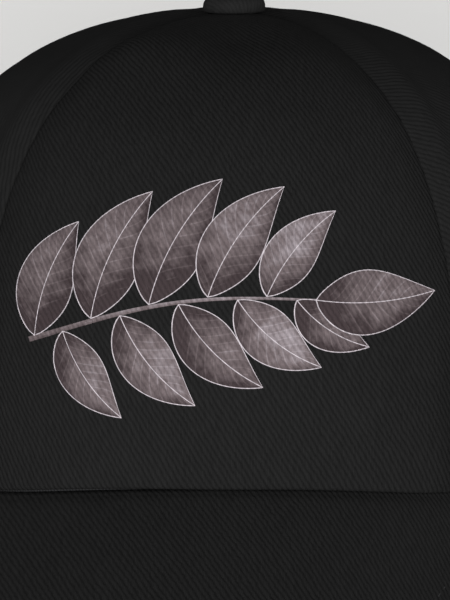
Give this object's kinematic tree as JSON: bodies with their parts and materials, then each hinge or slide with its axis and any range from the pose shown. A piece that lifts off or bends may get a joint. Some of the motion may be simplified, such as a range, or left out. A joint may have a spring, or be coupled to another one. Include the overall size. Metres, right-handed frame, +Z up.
{
  "type": "baseball cap",
  "caption": "Structured baseball cap with a seamless front panel, a bent visor, a sweatband inside and a strap with a metal slider across the gap at the back.",
  "frame": {"origin": "centre of the cap's box, at the floor that it stands on", "axes": "+Z up, the visor points to -Y, +X is the wearer's left"},
  "size_m": [0.18, 0.2584, 0.1332],
  "materials": {
    "black_twill": "matt cotton twill with steep ridges",
    "black_thread": "satin sewing thread",
    "sweatband_cloth": "matt brushed cotton",
    "slider_metal": "brushed, lightly worn",
    "front_print": "matt printed ink in mauve greys"
  },
  "bodies": {
    "root": {"front_panel": "black_twill", "side_panel_left": "black_twill", "side_panel_right": "black_twill", "back_panel_left": "black_twill", "back_panel_right": "black_twill", "visor": "black_twill", "button": "black_twill", "button_back": "slider_metal", "side_eyelet_left": "black_thread", "side_eyelet_right": "black_thread", "back_eyelet_left": "black_thread", "back_eyelet_right": "black_thread", "sweatband": "sweatband_cloth", "arch_binding": "black_twill", "strap": "black_twill", "strap_tail": "black_twill", "strap_slider": "slider_metal"}
  },
  "joints": []
}
